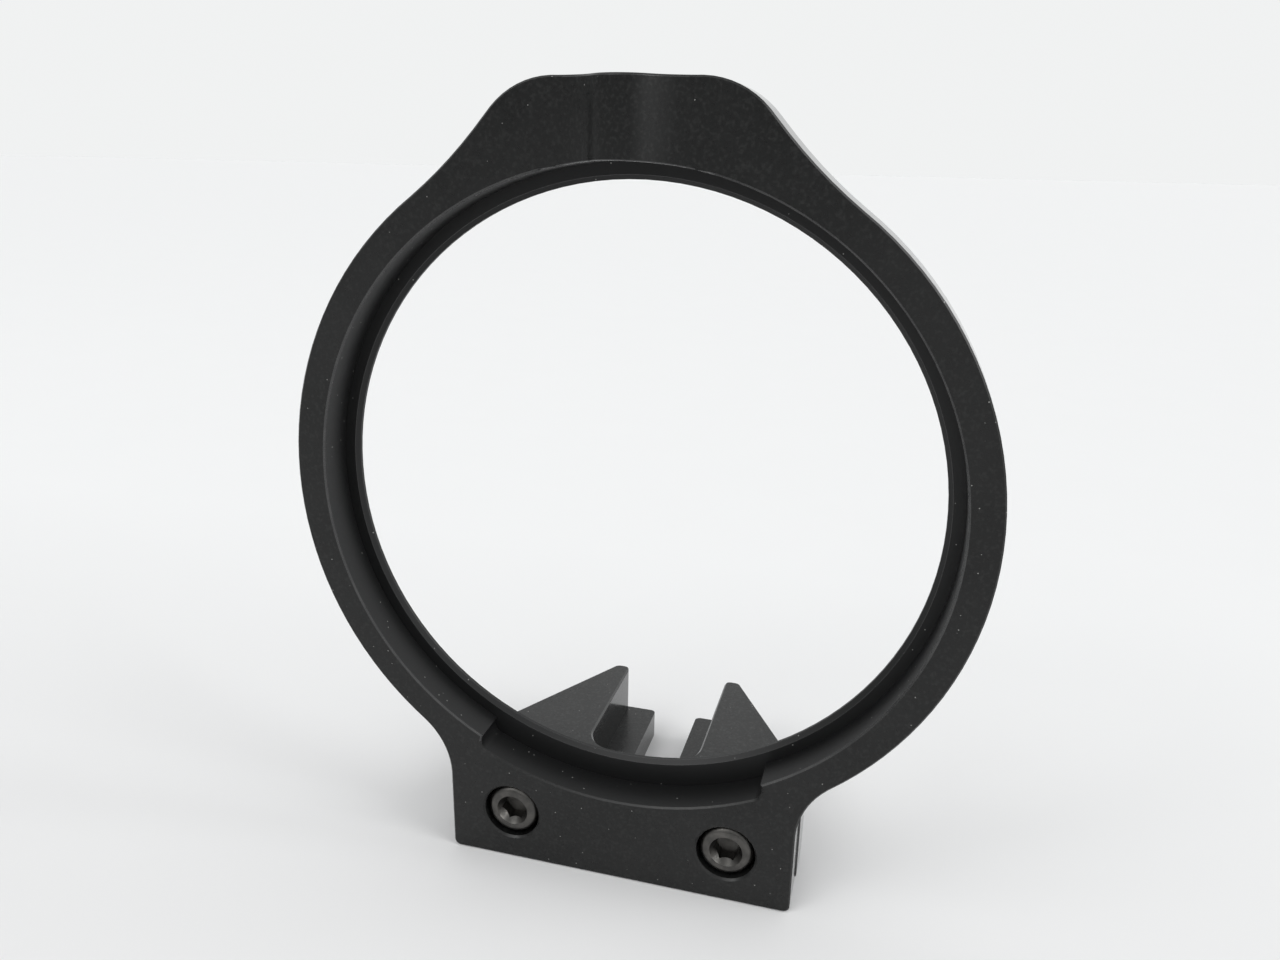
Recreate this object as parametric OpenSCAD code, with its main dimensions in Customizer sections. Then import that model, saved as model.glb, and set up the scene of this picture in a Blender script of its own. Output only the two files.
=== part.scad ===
// Fixed lens mount: a ring plate with a front-loading seat, screwed to a forked table foot.
// Millimetres. Origin on the underside, below the optical axis, at the shoulder the optic rests on.
// +Z is up, and the optic goes in from the front, which faces -Y.

/* [Ring] */
// Height of the optical axis above the underside
axis_height = 50.8; // [49.5:0.1:56]
// Outside diameter of the ring
ring_d = 82.8; // [81:0.1:84]
// Thickness of the ring plate
plate_t = 5.7; // [5.5:0.1:7]
// Thickness of the ring round the seat
ring_wall = 3.7; // [3.2:0.1:5]
// Depth of the seat, from the front face to the shoulder
seat_depth = 4.8; // [4:0.1:4.9]
// Width of the shoulder behind the optic
shoulder_w = 1.9; // [1.2:0.1:3]
// Chamfer on the bore's edge at the shoulder
bore_break = 0.5; // [0.2:0.05:0.6]
// Chamfer round the seat's and the relief's front edge
seat_break = 0.2; // [0.1:0.05:0.3]
// How far the relief below the seat is cut beyond the seat's wall
relief_w = 1.6; // [0.8:0.1:2]
// Angle from straight down to each end of the relief
relief_angle = 28.5; // [15:0.5:35]
// Radius of the relief's ends
relief_corner = 1.5; // [0.8:0.1:1.6]
// Chamfer round the outside of the front face
edge_break = 0.2; // [0.1:0.05:0.4]

/* [Lug and top pad] */
// Width of the lug below the ring
lug_w = 45.2; // [42:0.1:48]
// Radius of the lug's bottom corners
lug_corner = 0.8; // [0.5:0.1:1.5]
// Radius of the hollow between lug and ring
lug_fillet = 10; // [7:0.5:12]
// How far the top pad stands above the ring
pad_out = 4.4; // [4:0.1:4.8]
// Width of the top pad's flat
pad_w = 15.3; // [14:0.1:16.5]
// Radius of the top pad's shoulders
pad_r = 9.5; // [8.5:0.1:10.5]
// Slope of the top pad's flanks
pad_slope = 48.5; // [47:0.5:50]
// Radius of the hollow between top pad and ring
pad_fillet = 55; // [30:1:60]

/* [Screw boss] */
// How far the boss stands out of the front face
boss_out = 3.3; // [2:0.1:3.6]
// Radius of the boss's round front
boss_r = 4; // [3.7:0.1:4.5]
// Radius of the hollow at each side of the boss
boss_fillet = 6.4; // [5:0.1:8]
// Thread diameter of the set screw that holds the optic
set_screw_d = 4; // [3:0.5:4]
// Length of the set screw
set_screw_l = 6; // [4:0.5:7]
// How far the set screw's end lies below the top pad
set_screw_drop = 0.6; // [0.3:0.1:0.8]
// Width across the flats of the set screw's socket
set_key_w = 2; // [1.5:0.1:2.2]
// Depth of the set screw's socket
set_key_depth = 2; // [1:0.1:2.5]

/* [Cap screws] */
// Distance of each cap screw from the middle plane
screw_x = 14.25; // [12.5:0.05:16]
// Height of the cap screws above the underside
screw_z = 6.9; // [5.5:0.1:7.2]
// Thread diameter of the cap screws
screw_d = 4; // [3:0.1:4.2]
// Length of the cap screws below the head
screw_l = 10; // [8:0.5:12]
// Diameter of a cap screw's head
head_d = 7; // [6:0.1:7.3]
// Height of a cap screw's head
head_h = 4; // [3:0.1:4.2]
// Chamfer round the top of a head
head_break = 0.45; // [0.2:0.05:0.6]
// Width across the flats of a head's socket
key_w = 3; // [2:0.1:3.5]
// Depth of a head's socket
key_depth = 2; // [1.2:0.1:2.5]
// Room round a head in its counterbore
head_gap = 0.25; // [0.1:0.05:0.5]
// How far a head lies below the front face
head_drop = 0.4; // [0.1:0.1:0.6]
// Room round a thread where it passes through the plate
shank_gap = 0.25; // [0.1:0.05:0.5]
// Chamfer round a counterbore's edge
counterbore_break = 0.25; // [0.1:0.05:0.4]
// Length of tapped hole beyond the end of a cap screw
thread_spare = 2; // [0.5:0.5:3]

/* [Foot] */
// Length of the foot block, from the plate to the tips
foot_l = 28.3; // [25:0.1:34]
// Height of the foot block
foot_h = 11.3; // [10.2:0.1:12.5]
// Length of the straight sides before they taper
foot_straight = 5.9; // [2:0.1:8]
// Width across the tips
tip_w = 19.4; // [19:0.1:22]
// Radius of the tips' corners
tip_r = 0.95; // [0.5:0.05:1]
// Chamfer up the foot's edges beside the plate
foot_break = 0.15; // [0.1:0.05:0.4]
// Chamfer along the underside of the foot's sides
under_break = 1; // [0.4:0.1:1.5]
// Width of the pocket for the head of the table screw
pocket_w = 15.4; // [13:0.1:15.6]
// Thickness of the block in front of the pocket
pocket_wall = 5.6; // [4:0.1:8]
// Radius of the pocket's inner corners
pocket_r = 4; // [2:0.1:5]
// Chamfer round the pocket's top edge
pocket_break = 0.25; // [0.1:0.05:0.4]
// Thickness of the ledge under the head of the table screw
ledge_t = 4.1; // [3:0.1:6]
// Width of the slot for the table screw
slot_w = 6.6; // [6:0.1:8]
// Distance from the pocket's front wall to the centre of the slot's round end
slot_start = 5.5; // [4.5:0.1:8]
// Radius of the ledge's corners at the slot's mouth
ledge_r = 0.8; // [0.3:0.05:1]

/* [Hidden] */
ring_r = ring_d/2;
pad_rise = ring_r + pad_out;
seat_r = ring_r - ring_wall;
bore_r = seat_r - shoulder_w;
relief_r = seat_r + relief_w;
shoulder_at = plate_t - seat_depth;
lug_half = lug_w/2;
// a hair of overlap where a round surface runs into its neighbour
blend = 0.005;
// centre of the hollow between lug and ring
lug_cx = lug_half + lug_fillet - blend;
lug_cz = -sqrt(pow(ring_r + lug_fillet - blend, 2) - pow(lug_cx, 2));
// top pad: shoulder centre, flank direction and the hollow's centre
pad_cx = pad_w/2;
pad_cz = pad_rise - pad_r;
out_x = sin(pad_slope);
out_z = cos(pad_slope);
flank = pad_cx*out_x + pad_cz*out_z + pad_r;
flank_from = pad_cx*out_z - pad_cz*out_x;
flank_to = -sqrt(pow(ring_r + pad_fillet - blend, 2) - pow(flank + pad_fillet - blend, 2));
pad_fx = (flank + pad_fillet - blend)*out_x + flank_to*out_z;
pad_fz = (flank + pad_fillet - blend)*out_z - flank_to*out_x;
// boss: centre of its round front and of the hollows beside it
boss_cy = plate_t + boss_out - boss_r;
boss_deep = boss_r - boss_out + boss_fillet - blend;
boss_fx = sqrt(pow(boss_r + boss_fillet - blend, 2) - pow(boss_deep, 2));
boss_low = ring_r*0.6;
boss_root = 1;
// the set screw runs down the middle of the boss's round front
set_screw_y = boss_r - boss_out - seat_depth;
set_screw_top = axis_height + pad_rise - set_screw_drop;
// cap screws
head_r = head_d/2;
head_seat = -seat_depth + head_drop + head_h;
// foot
plate_back = plate_t - seat_depth;
foot_half = lug_half;
tip_half = tip_w/2;
pocket_half = pocket_w/2;
slot_half = slot_w/2;
taper_x = foot_half - tip_half;
taper_y = foot_l - foot_straight;
taper_s = sqrt(taper_x*taper_x + taper_y*taper_y);
side_x = taper_y/taper_s;
side_y = taper_x/taper_s;
side_at = foot_half*side_x + foot_straight*side_y;
tip_cy = foot_l - tip_r;
tip_out = tip_half + (tip_r*side_y - tip_r)/side_x;
tip_in = pocket_half + tip_r;
over = 1;
$fn = 180;

// disc whose front edge is chamfered
module disc(r, h, edge) {
  rotate_extrude() polygon([[0, 0], [r, 0], [r, h - edge], [r - edge, h], [0, h]]);
}

// round cutter that leaves a chamfered edge at height h
module round_cut(r, h, edge) {
  rotate_extrude() polygon([[0, -over], [r, -over], [r, h - edge], [r + edge + over, h + over], [0, h + over]]);
}

// the plate lying on its back: x across, y up the plate, z towards the front
module lug() {
  half = lug_half;
  translate([-half + lug_corner, 0, 0]) rotate([90, 0, 90])
    linear_extrude(lug_w - 2*lug_corner)
      polygon([[-axis_height, 0], [0, 0], [0, plate_t], [edge_break - axis_height, plate_t],
               [-axis_height, plate_t - edge_break]]);
  rotate([90, 0, 0]) linear_extrude(axis_height - lug_corner)
    polygon([[-half, 0], [half, 0], [half, plate_t - edge_break], [half - edge_break, plate_t],
             [edge_break - half, plate_t], [-half, plate_t - edge_break]]);
  for (side = [-1, 1])
    translate([side*(half - lug_corner), lug_corner - axis_height, 0]) disc(lug_corner, plate_t, edge_break);
}

module lug_web() {
  difference() {
    linear_extrude(plate_t) polygon([[0, 0], [lug_cx, lug_cz], [0, lug_cz]]);
    translate([lug_cx, lug_cz, 0]) round_cut(lug_fillet, plate_t, edge_break);
  }
}

// top pad with rounded shoulders and chamfered front edges
module pad() {
  difference() {
    union() {
      linear_extrude(plate_t)
        polygon([[0, 0], [flank*out_x, flank*out_z], [pad_cx + pad_r*out_x, pad_cz + pad_r*out_z],
                 [pad_cx, pad_rise], [-pad_cx, pad_rise], [-pad_cx - pad_r*out_x, pad_cz + pad_r*out_z],
                 [-flank*out_x, flank*out_z]]);
      for (side = [-1, 1]) translate([side*pad_cx, pad_cz, 0]) disc(pad_r + blend, plate_t, edge_break);
    }
    translate([-pad_w, 0, 0]) edge_cut(pad_rise, 2*pad_w);
    for (side = [0, 1]) mirror([side, 0, 0])
      rotate([0, 0, -pad_slope]) translate([flank_from - pad_r, 0, 0]) edge_cut(flank, pad_r - flank_from);
  }
}

// what a straight chamfer at height y takes off
module edge_cut(y, long) {
  rotate([90, 0, 90]) linear_extrude(long)
    polygon([[y - edge_break - over, plate_t + over], [y + over, plate_t - edge_break - over],
             [y + over, plate_t + over]]);
}

module pad_web() {
  difference() {
    linear_extrude(plate_t)
      polygon([[0, 0], [flank*out_x + flank_to*out_z, flank*out_z - flank_to*out_x], [pad_fx, pad_fz]]);
    translate([pad_fx, pad_fz, 0]) round_cut(pad_fillet, plate_t, edge_break);
  }
}

// upright boss: a round middle with a hollow at each side
module boss() {
  long = pad_rise - boss_low;
  intersection() {
    translate([0, boss_low, boss_cy]) rotate([-90, 0, 0]) {
      disc(boss_r, long, edge_break);
      for (side = [0, 1]) mirror([side, 0, 0]) difference() {
        linear_extrude(long) polygon([[0, 0], [boss_fx, 0], [boss_fx, -boss_deep]]);
        translate([boss_fx, -boss_deep, 0]) round_cut(boss_fillet, long, edge_break);
      }
    }
    translate([-boss_fx - over, 0, plate_t - boss_root])
      cube([2*boss_fx + 2*over, pad_rise, boss_out + 2*boss_root]);
  }
}

module wedge(angle) {
  far = 2*ring_r;
  polygon([[0, 0], [far*sin(angle), -far*cos(angle)], [-far*sin(angle), -far*cos(angle)]]);
}

// relief below the seat: a wider arc, ended by a round cutter at each side
module relief_cut(r) {
  rotate_extrude()
    polygon([[0, shoulder_at], [r, shoulder_at], [r, plate_t - seat_break], [r + seat_break + over, plate_t + over],
             [0, plate_t + over]]);
}

module relief() {
  mid = relief_r - relief_corner;
  turn = relief_angle - asin(relief_corner/mid);
  intersection() {
    relief_cut(relief_r);
    linear_extrude(plate_t + 2*over) wedge(turn);
  }
  for (side = [-1, 1]) translate([side*mid*sin(turn), -mid*cos(turn), 0]) relief_cut(relief_corner + blend, $fn = 64);
}

module optic_cut() {
  rotate_extrude()
    polygon([[0, -over], [bore_r, -over], [bore_r, shoulder_at - bore_break], [bore_r + bore_break, shoulder_at],
             [seat_r, shoulder_at], [seat_r, plate_t - seat_break], [seat_r + seat_break, plate_t],
             [seat_r + seat_break, plate_t + boss_out + over], [0, plate_t + boss_out + over]]);
}

module screw_cut() {
  translate([0, 0, -over]) cylinder(r = screw_d/2 + shank_gap, h = plate_t + over, $fn = 64);
  translate([0, 0, plate_t - head_drop - head_h]) rotate_extrude($fn = 96)
    polygon([[0, 0], [head_r + head_gap, 0], [head_r + head_gap, head_drop + head_h - counterbore_break],
             [head_r + head_gap + counterbore_break + over, head_drop + head_h + over],
             [0, head_drop + head_h + over]]);
}

module ring_plate() {
  color([0.035, 0.035, 0.04]) difference() {
    translate([0, plate_back, axis_height]) rotate([90, 0, 0]) difference() {
      union() {
        disc(ring_r, plate_t, edge_break);
        lug();
        pad();
        boss();
        for (side = [0, 1]) mirror([side, 0, 0]) {
          lug_web();
          pad_web();
        }
      }
      optic_cut();
      relief();
      for (side = [-1, 1]) translate([side*screw_x, screw_z - axis_height, 0]) screw_cut();
    }
    translate([0, set_screw_y, axis_height + bore_r]) cylinder(d = set_screw_d, h = pad_rise, $fn = 64);
  }
}

// half of the foot seen from above, x from the middle, y from the plate
module prong() {
  polygon([[0, 0], [foot_half - foot_break, 0], [foot_half, foot_break], [foot_half, foot_straight],
           [tip_out + tip_r*side_x, tip_cy + tip_r*side_y], [tip_out, tip_cy], [tip_out, foot_l],
           [tip_in, foot_l], [tip_in, tip_cy], [pocket_half, tip_cy],
           [pocket_half, pocket_wall + pocket_r], [pocket_half - pocket_r, pocket_wall], [0, pocket_wall]]);
  for (x = [tip_in, tip_out]) translate([x, tip_cy]) circle(tip_r, $fn = 64);
}

// what is left in the pocket's corner outside its radius
module pocket_corner() {
  difference() {
    translate([pocket_half - pocket_r, pocket_wall]) square(pocket_r);
    translate([pocket_half - pocket_r, pocket_wall + pocket_r]) circle(pocket_r, $fn = 96);
  }
}

// what the chamfer round the pocket's top edge takes off, drawn at the height of that edge
module pocket_edge() {
  span = pocket_half - pocket_r;
  back = pocket_wall + pocket_r;
  low = -pocket_break - over;
  wide = pocket_break + over;
  translate([0, foot_l + over, 0]) rotate([90, 0, 0]) linear_extrude(foot_l + over - back)
    polygon([[over - pocket_half, low], [pocket_half - over, low], [pocket_half + wide, over],
             [-pocket_half - wide, over]]);
  translate([-span, 0, 0]) rotate([90, 0, 90]) linear_extrude(2*span)
    polygon([[pocket_wall + over, low], [back, low], [back, over], [pocket_wall - wide, over]]);
  for (side = [-1, 1]) translate([side*span, back, 0]) rotate_extrude($fn = 96)
    polygon([[0, low], [pocket_r + blend - over, low], [pocket_r + blend + wide, over], [0, over]]);
}

module ledge() {
  end_y = pocket_wall + slot_start;
  difference() {
    union() {
      translate([0, over]) square([tip_out, foot_l - over - ledge_r]);
      translate([slot_half + ledge_r, foot_l - ledge_r - over]) square([tip_out - slot_half - ledge_r, ledge_r + over]);
      translate([slot_half + ledge_r, foot_l - ledge_r]) circle(ledge_r, $fn = 64);
    }
    translate([0, end_y]) circle(slot_half, $fn = 96);
    translate([-over, end_y]) square([slot_half + over, foot_l]);
  }
}

// what the chamfer along the underside takes off a side that lies reach from the middle
module under_cut(reach) {
  translate([0, 2*foot_l, 0]) rotate([90, 0, 0]) linear_extrude(3*foot_l)
    polygon([[reach - under_break - over, -over], [reach + over, -over], [reach + over, under_break + over]]);
}

module foot_block() {
  color([0.035, 0.035, 0.04]) translate([0, plate_back, 0]) difference() {
    for (side = [0, 1]) mirror([side, 0, 0]) {
      linear_extrude(foot_h) {
        prong();
        pocket_corner();
      }
      linear_extrude(ledge_t) ledge();
    }
    translate([0, 0, foot_h]) pocket_edge();
    for (side = [0, 1]) mirror([side, 0, 0]) {
      under_cut(foot_half);
      rotate([0, 0, atan2(side_y, side_x)]) under_cut(side_at);
    }
    for (side = [-1, 1])
      translate([side*screw_x, -over, screw_z]) rotate([-90, 0, 0])
        cylinder(d = screw_d, h = over + screw_l - plate_t + head_drop + head_h + thread_spare, $fn = 64);
  }
}

// cap screw standing on its head's underside, head up
module cap_screw() {
  tip = screw_d/10;
  difference() {
    union() {
      disc(head_r, head_h, head_break);
      translate([0, 0, -screw_l]) rotate_extrude($fn = 64)
        polygon([[0, 0], [screw_d/2 - tip, 0], [screw_d/2, tip], [screw_d/2, screw_l + head_h/4],
                 [0, screw_l + head_h/4]]);
    }
    translate([0, 0, head_h - key_depth]) linear_extrude(key_depth + over) circle(d = key_w/cos(30), $fn = 6);
  }
}

module cap_screw_at(side) {
  color([0.09, 0.09, 0.1]) translate([side*screw_x, head_seat, screw_z]) rotate([90, 0, 0]) cap_screw();
}

module cap_screw_left() {
  cap_screw_at(-1);
}

module cap_screw_right() {
  cap_screw_at(1);
}

module set_screw() {
  tip = set_screw_d/10;
  color([0.09, 0.09, 0.1]) translate([0, set_screw_y, set_screw_top - set_screw_l]) difference() {
    rotate_extrude($fn = 64)
      polygon([[0, 0], [set_screw_d/2 - tip, 0], [set_screw_d/2, tip], [set_screw_d/2, set_screw_l - tip/2],
               [set_screw_d/2 - tip/2, set_screw_l], [0, set_screw_l]]);
    translate([0, 0, set_screw_l - set_key_depth])
      linear_extrude(set_key_depth + over) circle(d = set_key_w/cos(30), $fn = 6);
  }
}

ring_plate();
foot_block();
cap_screw_left();
cap_screw_right();
set_screw();
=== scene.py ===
import math
import bmesh
import bpy
from mathutils import Matrix, Vector


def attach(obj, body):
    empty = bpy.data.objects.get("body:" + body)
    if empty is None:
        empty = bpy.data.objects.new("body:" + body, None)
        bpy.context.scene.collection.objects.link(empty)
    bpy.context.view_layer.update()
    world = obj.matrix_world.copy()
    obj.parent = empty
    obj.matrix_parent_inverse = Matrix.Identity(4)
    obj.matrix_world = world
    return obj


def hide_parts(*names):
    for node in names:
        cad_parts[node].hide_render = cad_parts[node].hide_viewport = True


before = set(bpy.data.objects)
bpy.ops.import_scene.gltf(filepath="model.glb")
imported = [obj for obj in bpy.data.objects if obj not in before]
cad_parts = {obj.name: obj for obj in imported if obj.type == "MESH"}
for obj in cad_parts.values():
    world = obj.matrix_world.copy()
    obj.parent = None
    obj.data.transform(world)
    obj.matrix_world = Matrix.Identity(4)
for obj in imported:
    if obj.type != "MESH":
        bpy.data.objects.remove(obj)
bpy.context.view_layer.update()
scene = bpy.context.scene
millimetre = 0.001
print("frame loaded")

cameraSettings = {
    "place": (0.029197, -0.105311, 0.089099),   # metres, in front, to the right and above the seat
    "turn": (71.6504, -1.0859, 15.3129),        # degrees about X, Y and Z
    "lens": 27.5766,                            # millimetres
    "sensor": 36.0,                             # millimetres across
    "near": 0.005,
    "far": 20.0,
}


def makeCamera(settings):
    data = bpy.data.cameras.new("camera")
    data.lens = settings["lens"]
    data.sensor_width = settings["sensor"]
    data.clip_start = settings["near"]
    data.clip_end = settings["far"]
    camera = bpy.data.objects.new("camera", data)
    camera.location = settings["place"]
    camera.rotation_euler = [math.radians(angle) for angle in settings["turn"]]
    scene.collection.objects.link(camera)
    scene.camera = camera


makeCamera(cameraSettings)
print("camera made")


def newMaterial(name):
    material = bpy.data.materials.new(name)
    material.use_nodes = True
    return material, material.node_tree.nodes, material.node_tree.links


def noiseNode(nodes, links, place, scale, detail):
    noise = nodes.new("ShaderNodeTexNoise")
    noise.inputs["Scale"].default_value = scale
    noise.inputs["Detail"].default_value = detail
    links.new(place.outputs["Object"], noise.inputs["Vector"])
    return noise


def mapNode(nodes, links, source, fromRange, toRange):
    spread = nodes.new("ShaderNodeMapRange")
    spread.inputs["From Min"].default_value = fromRange[0]
    spread.inputs["From Max"].default_value = fromRange[1]
    spread.inputs["To Min"].default_value = toRange[0]
    spread.inputs["To Max"].default_value = toRange[1]
    links.new(source, spread.inputs["Value"])
    return spread.outputs["Result"]


def mixColour(nodes, links, factor, first, second):
    mix = nodes.new("ShaderNodeMix")
    mix.data_type = "RGBA"
    links.new(factor, mix.inputs["Factor"])
    for socket, value in ((mix.inputs["A"], first), (mix.inputs["B"], second)):
        if isinstance(value, tuple):
            socket.default_value = (*value, 1.0)
        else:
            links.new(value, socket)
    return mix.outputs["Result"]


def mathNode(nodes, links, operation, first, second):
    node = nodes.new("ShaderNodeMath")
    node.operation = operation
    for socket, value in zip(node.inputs, (first, second)):
        if isinstance(value, (int, float)):
            socket.default_value = value
        else:
            links.new(value, socket)
    return node.outputs[0]


anodised = {
    "colour": (0.0050, 0.0053, 0.0052),
    "paler": (0.0086, 0.0088, 0.0087),   # where the black dye took less
    "cloudScale": 90.0,
    "cloudDetail": 3.0,
    "cloudSpread": (0.35, 0.65),         # the part of the noise that goes from dark to paler
    "specular": 0.34,
    "roughness": (0.27, 0.37),
    "grainScale": 2600.0,                # satin grain of the blasted metal
    "grainDetail": 2.0,
    "grainSpread": (0.3, 0.7),           # the part of the grain that changes the roughness
    "grainColour": (0.0170, 0.0174, 0.0170),
    "pitSpread": (0.5, 0.75),            # the part of the grain that takes the grain's colour
    "grazing": (0.74, 0.95),             # how far the surface turns away before it shines
    "grazingRoughness": 0.08,
    "bump": 0.000012,                    # metres
    "bumpStrength": 0.35,
    "speckScale": 700.0,
    "speckSize": 0.050,                  # share of a speck's cell
    "speckColour": (0.28, 0.28, 0.27),
}
footAnodised = dict(anodised)            # the foot came out of the bath a little paler
footAnodised.update({
    "specular": 0.44,
    "grazing": (0.60, 0.86),
    "grainColour": (0.034, 0.035, 0.034),
    "bump": 0.000024,
})
turned = {                               # the turned seat, even in tone and duller than the blasted faces
    "axisHeight": 0.0508,                # metres
    "reach": 0.0396,                     # from the axis to just past the relief's wall
    "front": -0.00455,                   # along Y, behind the chamfer round the seat
    "roughness": 0.42,
    "colour": (0.0074, 0.0076, 0.0078),
}
wornEdgeAndGlint = dict(anodised)                # edges where the dye is thin and the metal burnished, made paler and shinier also as a painted highlight along them
wornEdgeAndGlint.update({
    "colour": (0.014, 0.014, 0.015),
    "paler": (0.030, 0.030, 0.030),
    "cloudScale": 500.0,
    "specular": 0.75,
    "roughness": (0.20, 0.30),
    "speckSize": 0.02,
})


def roughen(nodes, links, shader, grain, settings):
    bump = nodes.new("ShaderNodeBump")
    bump.inputs["Strength"].default_value = settings["bumpStrength"]
    bump.inputs["Distance"].default_value = settings["bump"]
    links.new(grain.outputs["Fac"], bump.inputs["Height"])
    links.new(bump.outputs["Normal"], shader.inputs["Normal"])


def insideSeat(nodes, links, place):
    parts = nodes.new("ShaderNodeSeparateXYZ")
    links.new(place.outputs["Object"], parts.inputs["Vector"])
    across = mathNode(nodes, links, "POWER", parts.outputs["X"], 2.0)
    upright = mathNode(nodes, links, "SUBTRACT", parts.outputs["Z"], turned["axisHeight"])
    upright = mathNode(nodes, links, "POWER", upright, 2.0)
    reach = mathNode(nodes, links, "ADD", across, upright)
    near = mathNode(nodes, links, "LESS_THAN", reach, turned["reach"]**2)
    behind = mathNode(nodes, links, "GREATER_THAN", parts.outputs["Y"], turned["front"])
    return mathNode(nodes, links, "MULTIPLY", near, behind)


def mixValue(nodes, links, factor, first, second):   # goes from the first value to the second
    rise = mathNode(nodes, links, "SUBTRACT", second, first)
    return mathNode(nodes, links, "ADD", first, mathNode(nodes, links, "MULTIPLY", factor, rise))


def anodisedMaterial(name, settings, seat=False):
    material, nodes, links = newMaterial(name)
    shader = nodes["Principled BSDF"]
    shader.inputs["Specular IOR Level"].default_value = settings["specular"]
    place = nodes.new("ShaderNodeTexCoord")
    cloud = noiseNode(nodes, links, place, settings["cloudScale"], settings["cloudDetail"])
    shade = mapNode(nodes, links, cloud.outputs["Fac"], settings["cloudSpread"], (0.0, 1.0))
    dye = mixColour(nodes, links, shade, settings["colour"], settings["paler"])
    grain = noiseNode(nodes, links, place, settings["grainScale"], settings["grainDetail"])
    pits = mapNode(nodes, links, grain.outputs["Fac"], settings["pitSpread"], (0.0, 1.0))
    dye = mixColour(nodes, links, pits, dye, settings["grainColour"])
    if seat:
        bored = insideSeat(nodes, links, place)
        dye = mixColour(nodes, links, bored, dye, turned["colour"])
    specks = nodes.new("ShaderNodeTexVoronoi")   # points of pale dust
    specks.inputs["Scale"].default_value = settings["speckScale"]
    links.new(place.outputs["Object"], specks.inputs["Vector"])
    dust = mathNode(nodes, links, "LESS_THAN", specks.outputs["Distance"], settings["speckSize"])
    colour = mixColour(nodes, links, dust, dye, settings["speckColour"])
    links.new(colour, shader.inputs["Base Color"])
    satin = mapNode(nodes, links, grain.outputs["Fac"], settings["grainSpread"], settings["roughness"])
    facing = nodes.new("ShaderNodeLayerWeight")
    facing.inputs["Blend"].default_value = 0.5
    away = mapNode(nodes, links, facing.outputs["Facing"], settings["grazing"], (1.0, 0.0))
    kept = mathNode(nodes, links, "MULTIPLY", satin, away)
    lost = mathNode(nodes, links, "SUBTRACT", 1.0, away)
    gained = mathNode(nodes, links, "MULTIPLY", lost, settings["grazingRoughness"])
    satin = mathNode(nodes, links, "ADD", kept, gained)
    if seat:
        satin = mixValue(nodes, links, bored, satin, turned["roughness"])
    links.new(satin, shader.inputs["Roughness"])
    roughen(nodes, links, shader, grain, settings)
    return material


blackSteel = {
    "colour": (0.084, 0.082, 0.078),
    "worn": (0.130, 0.125, 0.118),       # where keys and fingers have rubbed the oxide
    "wornScale": 700.0,
    "wornDetail": 3.0,
    "wornSpread": (0.40, 0.68),
    "roughness": (0.30, 0.44),
    "grainScale": 3800.0,
    "grainDetail": 2.0,
    "grainSpread": (0.3, 0.7),
    "bump": 0.000010,                    # metres
    "bumpStrength": 0.3,
}


def steelMaterial(name, settings):
    material, nodes, links = newMaterial(name)
    shader = nodes["Principled BSDF"]
    shader.inputs["Metallic"].default_value = 1.0
    place = nodes.new("ShaderNodeTexCoord")
    wear = noiseNode(nodes, links, place, settings["wornScale"], settings["wornDetail"])
    shade = mapNode(nodes, links, wear.outputs["Fac"], settings["wornSpread"], (0.0, 1.0))
    colour = mixColour(nodes, links, shade, settings["colour"], settings["worn"])
    links.new(colour, shader.inputs["Base Color"])
    grain = noiseNode(nodes, links, place, settings["grainScale"], settings["grainDetail"])
    satin = mapNode(nodes, links, grain.outputs["Fac"], settings["grainSpread"], settings["roughness"])
    links.new(satin, shader.inputs["Roughness"])
    roughen(nodes, links, shader, grain, settings)
    return material


plateFinish = anodisedMaterial("black_anodised_plate", anodised, seat=True)
footFinish = anodisedMaterial("black_anodised_foot", footAnodised)
# the edge finish: partly real wear, partly a painted highlight on the edges
wornAndGlintEdgeFinish = anodisedMaterial("burnished_and_glinting_edges", wornEdgeAndGlint)
steelFinish = steelMaterial("black_oxide_steel", blackSteel)
print("finishes made")


def newObject(name, shape):
    mesh = bpy.data.meshes.new(name)
    shape.to_mesh(mesh)
    item = bpy.data.objects.new(name, mesh)
    scene.collection.objects.link(item)
    return item


def finishPiece(name, shape, materials, nodeName, smoothBelow):
    for edge in shape.edges:
        edge.smooth = edge.is_manifold and edge.calc_face_angle(0.0) < math.radians(smoothBelow)
    for face in shape.faces:
        face.smooth = True
    piece = newObject(name, shape)
    shape.free()
    for material in materials:
        piece.data.materials.append(material)
    weighted = piece.modifiers.new("even faces", "WEIGHTED_NORMAL")
    weighted.keep_sharp = True
    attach(piece, "root")
    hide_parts(nodeName)


machining = {                # the same for plate and foot, millimetres and degrees
    "merge": 0.002,          # corners closer than this are one
    "flat": 0.3,             # faces that meet at less than this are one
    "sharp": 28.0,           # edges that turn further than this are broken
    "chamfered": (-4.85, -4.5),   # along Y, where edges have chamfers of their own and stay as they are
    "slant": (0.65, 0.76),   # how squarely a chamfer of 45 degrees looks the way it faces
    "segments": 2,           # faces across a broken edge
    "smoothBelow": 40.0,
}
machinedPieces = {
    "ring_plate": {
        "piece": "ring_plate_dressed",
        "slot": "anodised_plate",
        "finish": plateFinish,
        "edge": 0.05,                    # how wide an edge is broken, millimetres
        "wider": 1.0,
        "facing": Vector((0, -1, 0)),    # the side whose chamfers take the paler edge finish, partly wear and partly a painted highlight
        "within": 38.6,                  # millimetres from the seat's axis within which they lie
        "before": -4.5,                  # and in front of this along Y
        "above": 0.0,                    # and above this
    },
    "foot_block": {
        "piece": "foot_block_dressed",
        "slot": "anodised_foot",
        "finish": footFinish,
        "edge": 0.06,
        "wider": 1.0066,                 # stands a hair proud of the lug at each side
        "facing": Vector((0, 0, 1)),
        "within": 80.0,                  # both are past the foot's end, so they leave out nothing
        "before": 30.0,
        "above": 10.9,
    },
}
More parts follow.
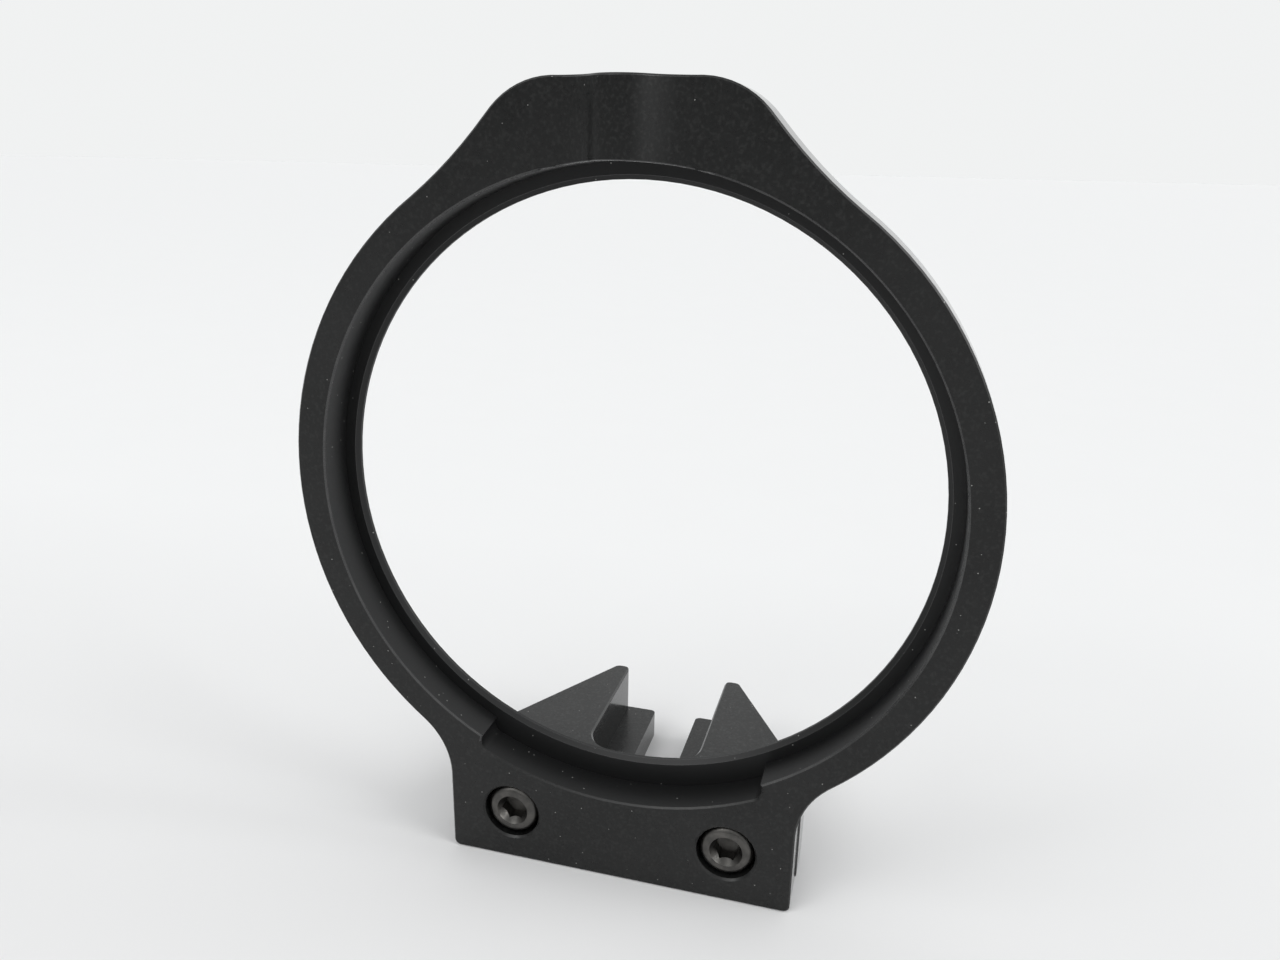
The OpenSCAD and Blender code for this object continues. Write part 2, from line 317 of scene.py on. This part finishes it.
pocketCorners = {            # the inner corners of the foot's pocket, millimetres
    "middles": [(-3.7, 10.5), (3.7, 10.5)],
    "radius": 3.999,         # a hair inside the pocket's walls, so that no faces lie on each other
    "heights": (4.1, 11.4),
    "steps": 96,
}


def roundPocket(shape, settings):
    low, high = settings["heights"]
    tool = bmesh.new()
    for across, along in settings["middles"]:
        place = Matrix.Translation((across, along, (low + high)/2))
        bmesh.ops.create_cone(tool, cap_ends=True, segments=settings["steps"], radius1=settings["radius"],
                              radius2=settings["radius"], depth=high - low, matrix=place)
    bmesh.ops.scale(tool, vec=(millimetre, millimetre, millimetre), verts=tool.verts)
    blank = newObject("pocket blank", shape)
    cutter = newObject("pocket cutter", tool)
    shape.clear()
    tool.free()
    cut = blank.modifiers.new("pocket", "BOOLEAN")
    cut.operation = "DIFFERENCE"
    cut.solver = "EXACT"
    cut.object = cutter
    shape.from_mesh(blank.evaluated_get(bpy.context.evaluated_depsgraph_get()).to_mesh())
    for item in (blank, cutter):
        bpy.data.meshes.remove(item.data)
    bmesh.ops.remove_doubles(shape, verts=shape.verts, dist=machining["merge"]*millimetre)


def sharpConvex(edge, angle):
    return edge.is_convex and edge.calc_face_angle(0.0) > math.radians(angle)


def breakEdges(shape, edges, width):   # rounds the edges and gives what is rounded the paler edge finish, partly wear and partly a painted highlight
    rounded = bmesh.ops.bevel(shape, geom=edges, offset=width*millimetre, offset_type="OFFSET",
                              segments=machining["segments"], profile=0.5, affect="EDGES",
                              clamp_overlap=True, material=-1)
    for face in rounded["faces"]:
        face.material_index = 1


bossEdge = {                 # where the screw boss meets the seat, millimetres and degrees
    "halfWidth": 7.5,
    "before": -4.79,         # along Y
    "cutRadius": 37.9,       # where the seat's chamfer leaves the boss
    "seatRadius": 37.7,
    "slack": 0.02,
    "sharp": 60.0,
    "edge": 0.13,
}


def breakBossEdge(shape, settings):   # takes the boss down to the seat and breaks its own edge instead
    axis = turned["axisHeight"]
    lip = set()
    for vert in shape.verts:
        reach = math.hypot(vert.co.x, vert.co.z - axis)
        onCut = abs(reach/millimetre - settings["cutRadius"]) < settings["slack"]
        inBoss = abs(vert.co.x) < settings["halfWidth"]*millimetre and vert.co.z > axis
        if onCut and inBoss and vert.co.y < settings["before"]*millimetre:
            share = settings["seatRadius"]*millimetre/reach
            vert.co.x *= share
            vert.co.z = axis + (vert.co.z - axis)*share
            lip.add(vert)
    edges = [edge for edge in shape.edges
             if set(edge.verts) <= lip and sharpConvex(edge, settings["sharp"])]
    breakEdges(shape, edges, settings["edge"])


def dressNode(nodeName, settings):
    shape = bmesh.new()
    shape.from_mesh(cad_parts[nodeName].data)
    bmesh.ops.remove_doubles(shape, verts=shape.verts, dist=machining["merge"]*millimetre)
    if nodeName == "foot_block":
        roundPocket(shape, pocketCorners)
    else:
        breakBossEdge(shape, bossEdge)
    bmesh.ops.dissolve_limit(shape, angle_limit=math.radians(machining["flat"]), verts=shape.verts,
                             edges=shape.edges)
    bmesh.ops.scale(shape, vec=(settings["wider"], 1, 1), verts=shape.verts)
    # chamfers facing one way, round the seat's mouth or on the pocket's rim, take the paler edge finish:
    # partly wear, partly a painted highlight
    low, high = machining["slant"]
    for face in shape.faces:
        middle = face.calc_center_median()/millimetre
        reach = math.hypot(middle.x, middle.z - turned["axisHeight"]/millimetre)
        inPlace = middle.y < settings["before"] and middle.z > settings["above"]
        inReach = reach < settings["within"]
        if inPlace and inReach and low < face.normal.dot(settings["facing"]) < high:
            face.material_index = 1
    front, back = machining["chamfered"]
    corners = [edge for edge in shape.edges
               if edge.is_manifold and sharpConvex(edge, machining["sharp"])
               and not front*millimetre < max(vert.co.y for vert in edge.verts) < back*millimetre]
    breakEdges(shape, corners, settings["edge"])
    bmesh.ops.recalc_face_normals(shape, faces=shape.faces)
    finishPiece(settings["piece"], shape, [settings["finish"], wornAndGlintEdgeFinish], nodeName,
                machining["smoothBelow"])


for nodeName, settings in machinedPieces.items():
    dressNode(nodeName, settings)
print("plate and foot dressed")

screwMaking = {               # the same for all three, millimetres and degrees
    "steps": 120,             # round the head
    "drillShare": 0.92,       # the drilled hole's width as a share of the key's
    "near": 0.001,            # heights closer than this are the same
    "join": 0.01,             # thread corners closer than this are one
    "cutNear": 0.0001,        # corners closer than this to a cut lie in it
    "spareTurns": 2,          # cut off again at both ends
    "smoothBelow": 32.0,
}
capScrew = {
    "outline": [(2.1, 4.0), (2.6, 4.0), (2.9, 3.93), (3.18, 3.75), (3.38, 3.47), (3.48, 3.12), (3.5, 2.9),
                (3.5, 0.35), (3.3, 0.0), (2.3, 0.0), (1.98, -0.15)],   # radius and height, mouth downwards
    "mouthSlope": 1.5,        # how steeply the socket's countersink goes in
    "keyWidth": 3.0,
    "keyDepth": 2.2,
    "drillDepth": 0.5,
    "ridgeDepth": 0.08,       # grip round the side of the head
    "ridgeSpan": (0.3, 3.1),
    "threadTop": -0.7,
    "threadEnd": -10.0,
    "point": 1.55,            # radius of the flat end
    "cup": 0.0,
}
setScrew = {
    "outline": [(1.3, 0.0), (1.62, 0.0), (1.9, -0.28)],
    "mouthSlope": 0.9,
    "keyWidth": 2.0,
    "keyDepth": 2.0,
    "drillDepth": 0.35,
    "ridgeDepth": 0.0,
    "ridgeSpan": (0.0, 0.0),
    "threadTop": -0.5,
    "threadEnd": -6.0,
    "point": 1.25,
    "cup": 0.6,               # depth of the hollow in the end that meets the optic
    "cupRim": 0.25,           # width of the flat round it
}
thread = {
    "lead": 0.7,              # rise in one turn, millimetres
    "steps": 24,
    "profile": [(1.62, 0.0), (1.62, 0.085), (1.97, 0.305), (1.97, 0.395), (1.62, 0.615), (1.62, 0.7)],
}


def chainOf(shape, points):
    corners = [shape.verts.new((radius, 0.0, height)) for radius, height in points]
    return corners + [shape.edges.new(pair) for pair in zip(corners, corners[1:])]


def openEdges(shape, low, high):
    return [edge for edge in shape.edges
            if edge.is_boundary and all(low <= vert.co.z <= high for vert in edge.verts)]


def openEdgesAt(shape, height):
    return openEdges(shape, height - screwMaking["near"], height + screwMaking["near"])


def extrudeLoop(shape, edges):
    made = bmesh.ops.extrude_edge_only(shape, edges=edges)["geom"]
    verts = [item for item in made if isinstance(item, bmesh.types.BMVert)]
    ring = set(verts)
    return verts, [item for item in made if isinstance(item, bmesh.types.BMEdge) and set(item.verts) <= ring]


def addHead(shape, settings):
    steps = screwMaking["steps"]
    bmesh.ops.spin(shape, geom=chainOf(shape, settings["outline"]), cent=(0, 0, 0), axis=(0, 0, 1),
                   angle=math.tau, steps=steps, use_merge=True)
    low, high = settings["ridgeSpan"]
    for vert in shape.verts:
        turn = round(math.atan2(vert.co.y, vert.co.x)*steps/math.tau)
        if low < vert.co.z < high and turn % 2:
            radius = vert.co.xy.length
            vert.co.xy *= (radius - settings["ridgeDepth"])/radius


def addSocket(shape, settings):
    mouth, top = settings["outline"][0]
    floor = top - settings["keyDepth"]
    mouthEdges = openEdgesAt(shape, top)
    flat = settings["keyWidth"]/2
    ring = bmesh.ops.create_circle(shape, segments=screwMaking["steps"], radius=flat)["verts"]
    ringEdges = [edge for edge in shape.edges if edge.verts[0] in ring]
    for vert in ring:
        away = (math.atan2(vert.co.y, vert.co.x) % (math.pi/3)) - math.pi/6
        radius = flat/math.cos(away)
        vert.co.xy *= radius/vert.co.xy.length
        vert.co.z = top - (mouth - radius)*settings["mouthSlope"]
    bmesh.ops.bridge_loops(shape, edges=mouthEdges + ringEdges)
    floorVerts, floorEdges = extrudeLoop(shape, ringEdges)
    for vert in floorVerts:
        vert.co.z = floor
    drillVerts, drillEdges = extrudeLoop(shape, floorEdges)
    for vert in drillVerts:
        vert.co.xy *= flat*screwMaking["drillShare"]/vert.co.xy.length
    tipVerts = extrudeLoop(shape, drillEdges)[0]
    bmesh.ops.pointmerge(shape, verts=tipVerts, merge_co=(0, 0, floor - settings["drillDepth"]))


def addThread(shape, settings):
    neckEdges = openEdges(shape, settings["threadTop"], 0.0)
    lead = thread["lead"]
    top = settings["threadTop"]
    end = settings["threadEnd"]
    turns = math.ceil((top - end)/lead) + screwMaking["spareTurns"]
    bottom = end - lead
    before = set(shape.verts)
    points = [(radius, height + bottom - lead/2) for radius, height in thread["profile"]]
    bmesh.ops.spin(shape, geom=chainOf(shape, points), cent=(0, 0, 0), axis=(0, 0, 1),
                   dvec=(0, 0, lead/thread["steps"]), angle=math.tau*turns, steps=thread["steps"]*turns)
    rod = [vert for vert in shape.verts if vert not in before]
    bmesh.ops.remove_doubles(shape, verts=rod, dist=screwMaking["join"])
    for height, side in ((top, 1), (end, -1)):
        rod = [vert for vert in shape.verts if vert not in before]
        edges = [edge for edge in shape.edges if not set(edge.verts) <= before]
        faces = [face for face in shape.faces if not set(face.verts) <= before]
        bmesh.ops.bisect_plane(shape, geom=rod + edges + faces, dist=screwMaking["cutNear"],
                               plane_co=(0, 0, height), plane_no=(0, 0, side), clear_outer=True)
    bmesh.ops.bridge_loops(shape, edges=neckEdges + openEdgesAt(shape, top))
    for vert in shape.verts:
        room = settings["point"] + vert.co.z - end   # the end is chamfered
        if vert.co.xy.length > room:
            vert.co.xy *= room/vert.co.xy.length
    flatEnd = bmesh.ops.contextual_create(shape, geom=openEdgesAt(shape, end))["faces"]
    if settings["cup"]:
        bmesh.ops.inset_region(shape, faces=flatEnd, thickness=settings["cupRim"])
        middle = bmesh.ops.poke(shape, faces=flatEnd)["verts"]
        bmesh.ops.translate(shape, vec=(0, 0, settings["cup"]), verts=middle)


screws = {
    "cap_screw_left": {
        "piece": "cap_screw_left_dressed",
        "slot": "cap_screws",
        "kind": capScrew,
        "place": (-14.25, -0.4, 6.9),   # of the middle under its head, millimetres
        "tilt": 90.0,                   # degrees about X, from head up
        "turn": 8.0,                    # degrees about its own axis, as the key left it
    },
    "cap_screw_right": {
        "piece": "cap_screw_right_dressed",
        "slot": "cap_screws",
        "kind": capScrew,
        "place": (14.25, -0.4, 6.9),
        "tilt": 90.0,
        "turn": 1.0,
    },
    "set_screw": {
        "piece": "set_screw_dressed",
        "slot": "set_screw",
        "kind": setScrew,
        "place": (0.0, -4.1, 96.0),     # of the middle of its top
        "tilt": 0.0,
        "turn": 20.0,
    },
}


def makeScrew(nodeName, settings):
    shape = bmesh.new()
    addHead(shape, settings["kind"])
    addSocket(shape, settings["kind"])
    addThread(shape, settings["kind"])
    bmesh.ops.recalc_face_normals(shape, faces=shape.faces)
    place = Matrix.Translation(Vector(settings["place"])*millimetre)
    tilt = Matrix.Rotation(math.radians(settings["tilt"]), 4, "X")
    turn = Matrix.Rotation(math.radians(settings["turn"]), 4, "Z")
    size = Matrix.Scale(millimetre, 4)
    bmesh.ops.transform(shape, matrix=place @ tilt @ turn @ size, verts=shape.verts)
    finishPiece(settings["piece"], shape, [steelFinish], nodeName,
                screwMaking["smoothBelow"])


for nodeName, settings in screws.items():
    makeScrew(nodeName, settings)
print("screws made")

paper = {                     # the floor
    "size": 12.0,             # metres across
    "roughness": 0.75,
    "specular": 0.2,
    "nearPaintedShade": (0.79, 0.79, 0.79),
    "farColour": (0.865, 0.87, 0.87),
    "nearEdge": -0.06,        # metres along Y over which the painted shade in the paper's foreground fades to its plain colour
    "farEdge": 0.10,
    "fibreScale": 40.0,
    "fibreDetail": 2.0,
    "fibreSpread": (0.3, 0.7),
    "fibreShare": 0.02,       # how far the fibres go towards their own colour
    "fibreColour": (0.7, 0.7, 0.7),
}


def makeFloor(settings):
    shape = bmesh.new()
    bmesh.ops.create_grid(shape, x_segments=1, y_segments=1, size=settings["size"]/2)
    floor = newObject("floor", shape)
    shape.free()
    material, nodes, links = newMaterial("white_paper")
    shader = nodes["Principled BSDF"]
    shader.inputs["Roughness"].default_value = settings["roughness"]
    shader.inputs["Specular IOR Level"].default_value = settings["specular"]
    place = nodes.new("ShaderNodeTexCoord")
    parts = nodes.new("ShaderNodeSeparateXYZ")
    links.new(place.outputs["Object"], parts.inputs["Vector"])
    edges = (settings["nearEdge"], settings["farEdge"])
    # darker towards the camera: painted shade in the paper's foreground
    back = mapNode(nodes, links, parts.outputs["Y"], edges, (0.0, 1.0))
    tone = mixColour(nodes, links, back, settings["nearPaintedShade"], settings["farColour"])
    fibres = noiseNode(nodes, links, place, settings["fibreScale"], settings["fibreDetail"])
    most = settings["fibreShare"]
    share = mapNode(nodes, links, fibres.outputs["Fac"], settings["fibreSpread"], (0.0, most))
    colour = mixColour(nodes, links, share, tone, settings["fibreColour"])
    links.new(colour, shader.inputs["Base Color"])
    floor.data.materials.append(material)


keyLamp = {
    "place": (-0.42, -0.50, 0.62),   # metres
    "aim": (0, 0, 0.05),
    "size": 0.22,
    "power": 0.35,                   # watts
}
windows = {                          # light so broad that it comes from far off, degrees across
    "window": {"place": (-0.60, -0.85, 1.30), "width": 40.0, "strength": 0.55},
    "side window": {"place": (1.2, -0.10, 0.8), "width": 40.0, "strength": 1.25},
}


def placeLamp(name, data, place, backwards):
    lamp = bpy.data.objects.new(name, data)
    lamp.location = place
    lamp.rotation_euler = backwards.to_track_quat("Z", "Y").to_euler()
    scene.collection.objects.link(lamp)


def makeLamp(name, settings):
    data = bpy.data.lights.new(name, "AREA")
    data.shape = "DISK"
    data.size = settings["size"]
    data.energy = settings["power"]
    placeLamp(name, data, settings["place"], Vector(settings["place"]) - Vector(settings["aim"]))


def makeWindow(name, settings):
    data = bpy.data.lights.new(name, "SUN")
    data.angle = math.radians(settings["width"])
    data.energy = settings["strength"]
    placeLamp(name, data, settings["place"], Vector(settings["place"]))


surroundings = {
    "skyColour": (0.685, 0.69, 0.695),       # what the pieces are lit by
    "wallColour": (0.875, 0.885, 0.885),     # what is seen behind them and mirrored in them
    "roomColour": (0.22, 0.225, 0.225),      # a darker part of the room, hidden from the camera
    "roomTowards": (-0.766, -0.643),         # where it lies, along X and Y
    "roomAhead": (-0.34, 0.30),              # how squarely a direction points into it
    "roomRise": (0.10, 0.42),                # and how low it has to point
}


def makeWorld(settings):
    world = bpy.data.worlds.new("studio")
    world.use_nodes = True
    nodes = world.node_tree.nodes
    links = world.node_tree.links
    place = nodes.new("ShaderNodeTexCoord")
    parts = nodes.new("ShaderNodeSeparateXYZ")
    links.new(place.outputs["Generated"], parts.inputs["Vector"])
    across, along = settings["roomTowards"]
    towards = mathNode(nodes, links, "ADD", mathNode(nodes, links, "MULTIPLY", parts.outputs["X"], across),
                       mathNode(nodes, links, "MULTIPLY", parts.outputs["Y"], along))
    ahead = mapNode(nodes, links, towards, settings["roomAhead"], (0.0, 1.0))
    room = mathNode(nodes, links, "MULTIPLY", ahead,
                    mapNode(nodes, links, parts.outputs["Z"], settings["roomRise"], (1.0, 0.0)))
    rays = nodes.new("ShaderNodeLightPath")
    seen = mathNode(nodes, links, "MAXIMUM", rays.outputs["Is Camera Ray"], rays.outputs["Is Glossy Ray"])
    seen = mathNode(nodes, links, "MAXIMUM", seen, rays.outputs["Is Transmission Ray"])
    wall = mixColour(nodes, links, seen, settings["skyColour"], settings["wallColour"])
    away = mathNode(nodes, links, "SUBTRACT", 1.0, rays.outputs["Is Camera Ray"])
    room = mathNode(nodes, links, "MULTIPLY", room, away)   # the camera sees plain wall there
    tone = mixColour(nodes, links, room, wall, settings["roomColour"])
    links.new(tone, nodes["Background"].inputs["Color"])
    nodes["Background"].inputs["Strength"].default_value = 1.0
    scene.world = world


makeFloor(paper)
makeLamp("key", keyLamp)
for windowName, settings in windows.items():
    makeWindow(windowName, settings)
makeWorld(surroundings)
scene.view_settings.view_transform = "Standard"
print("studio made")
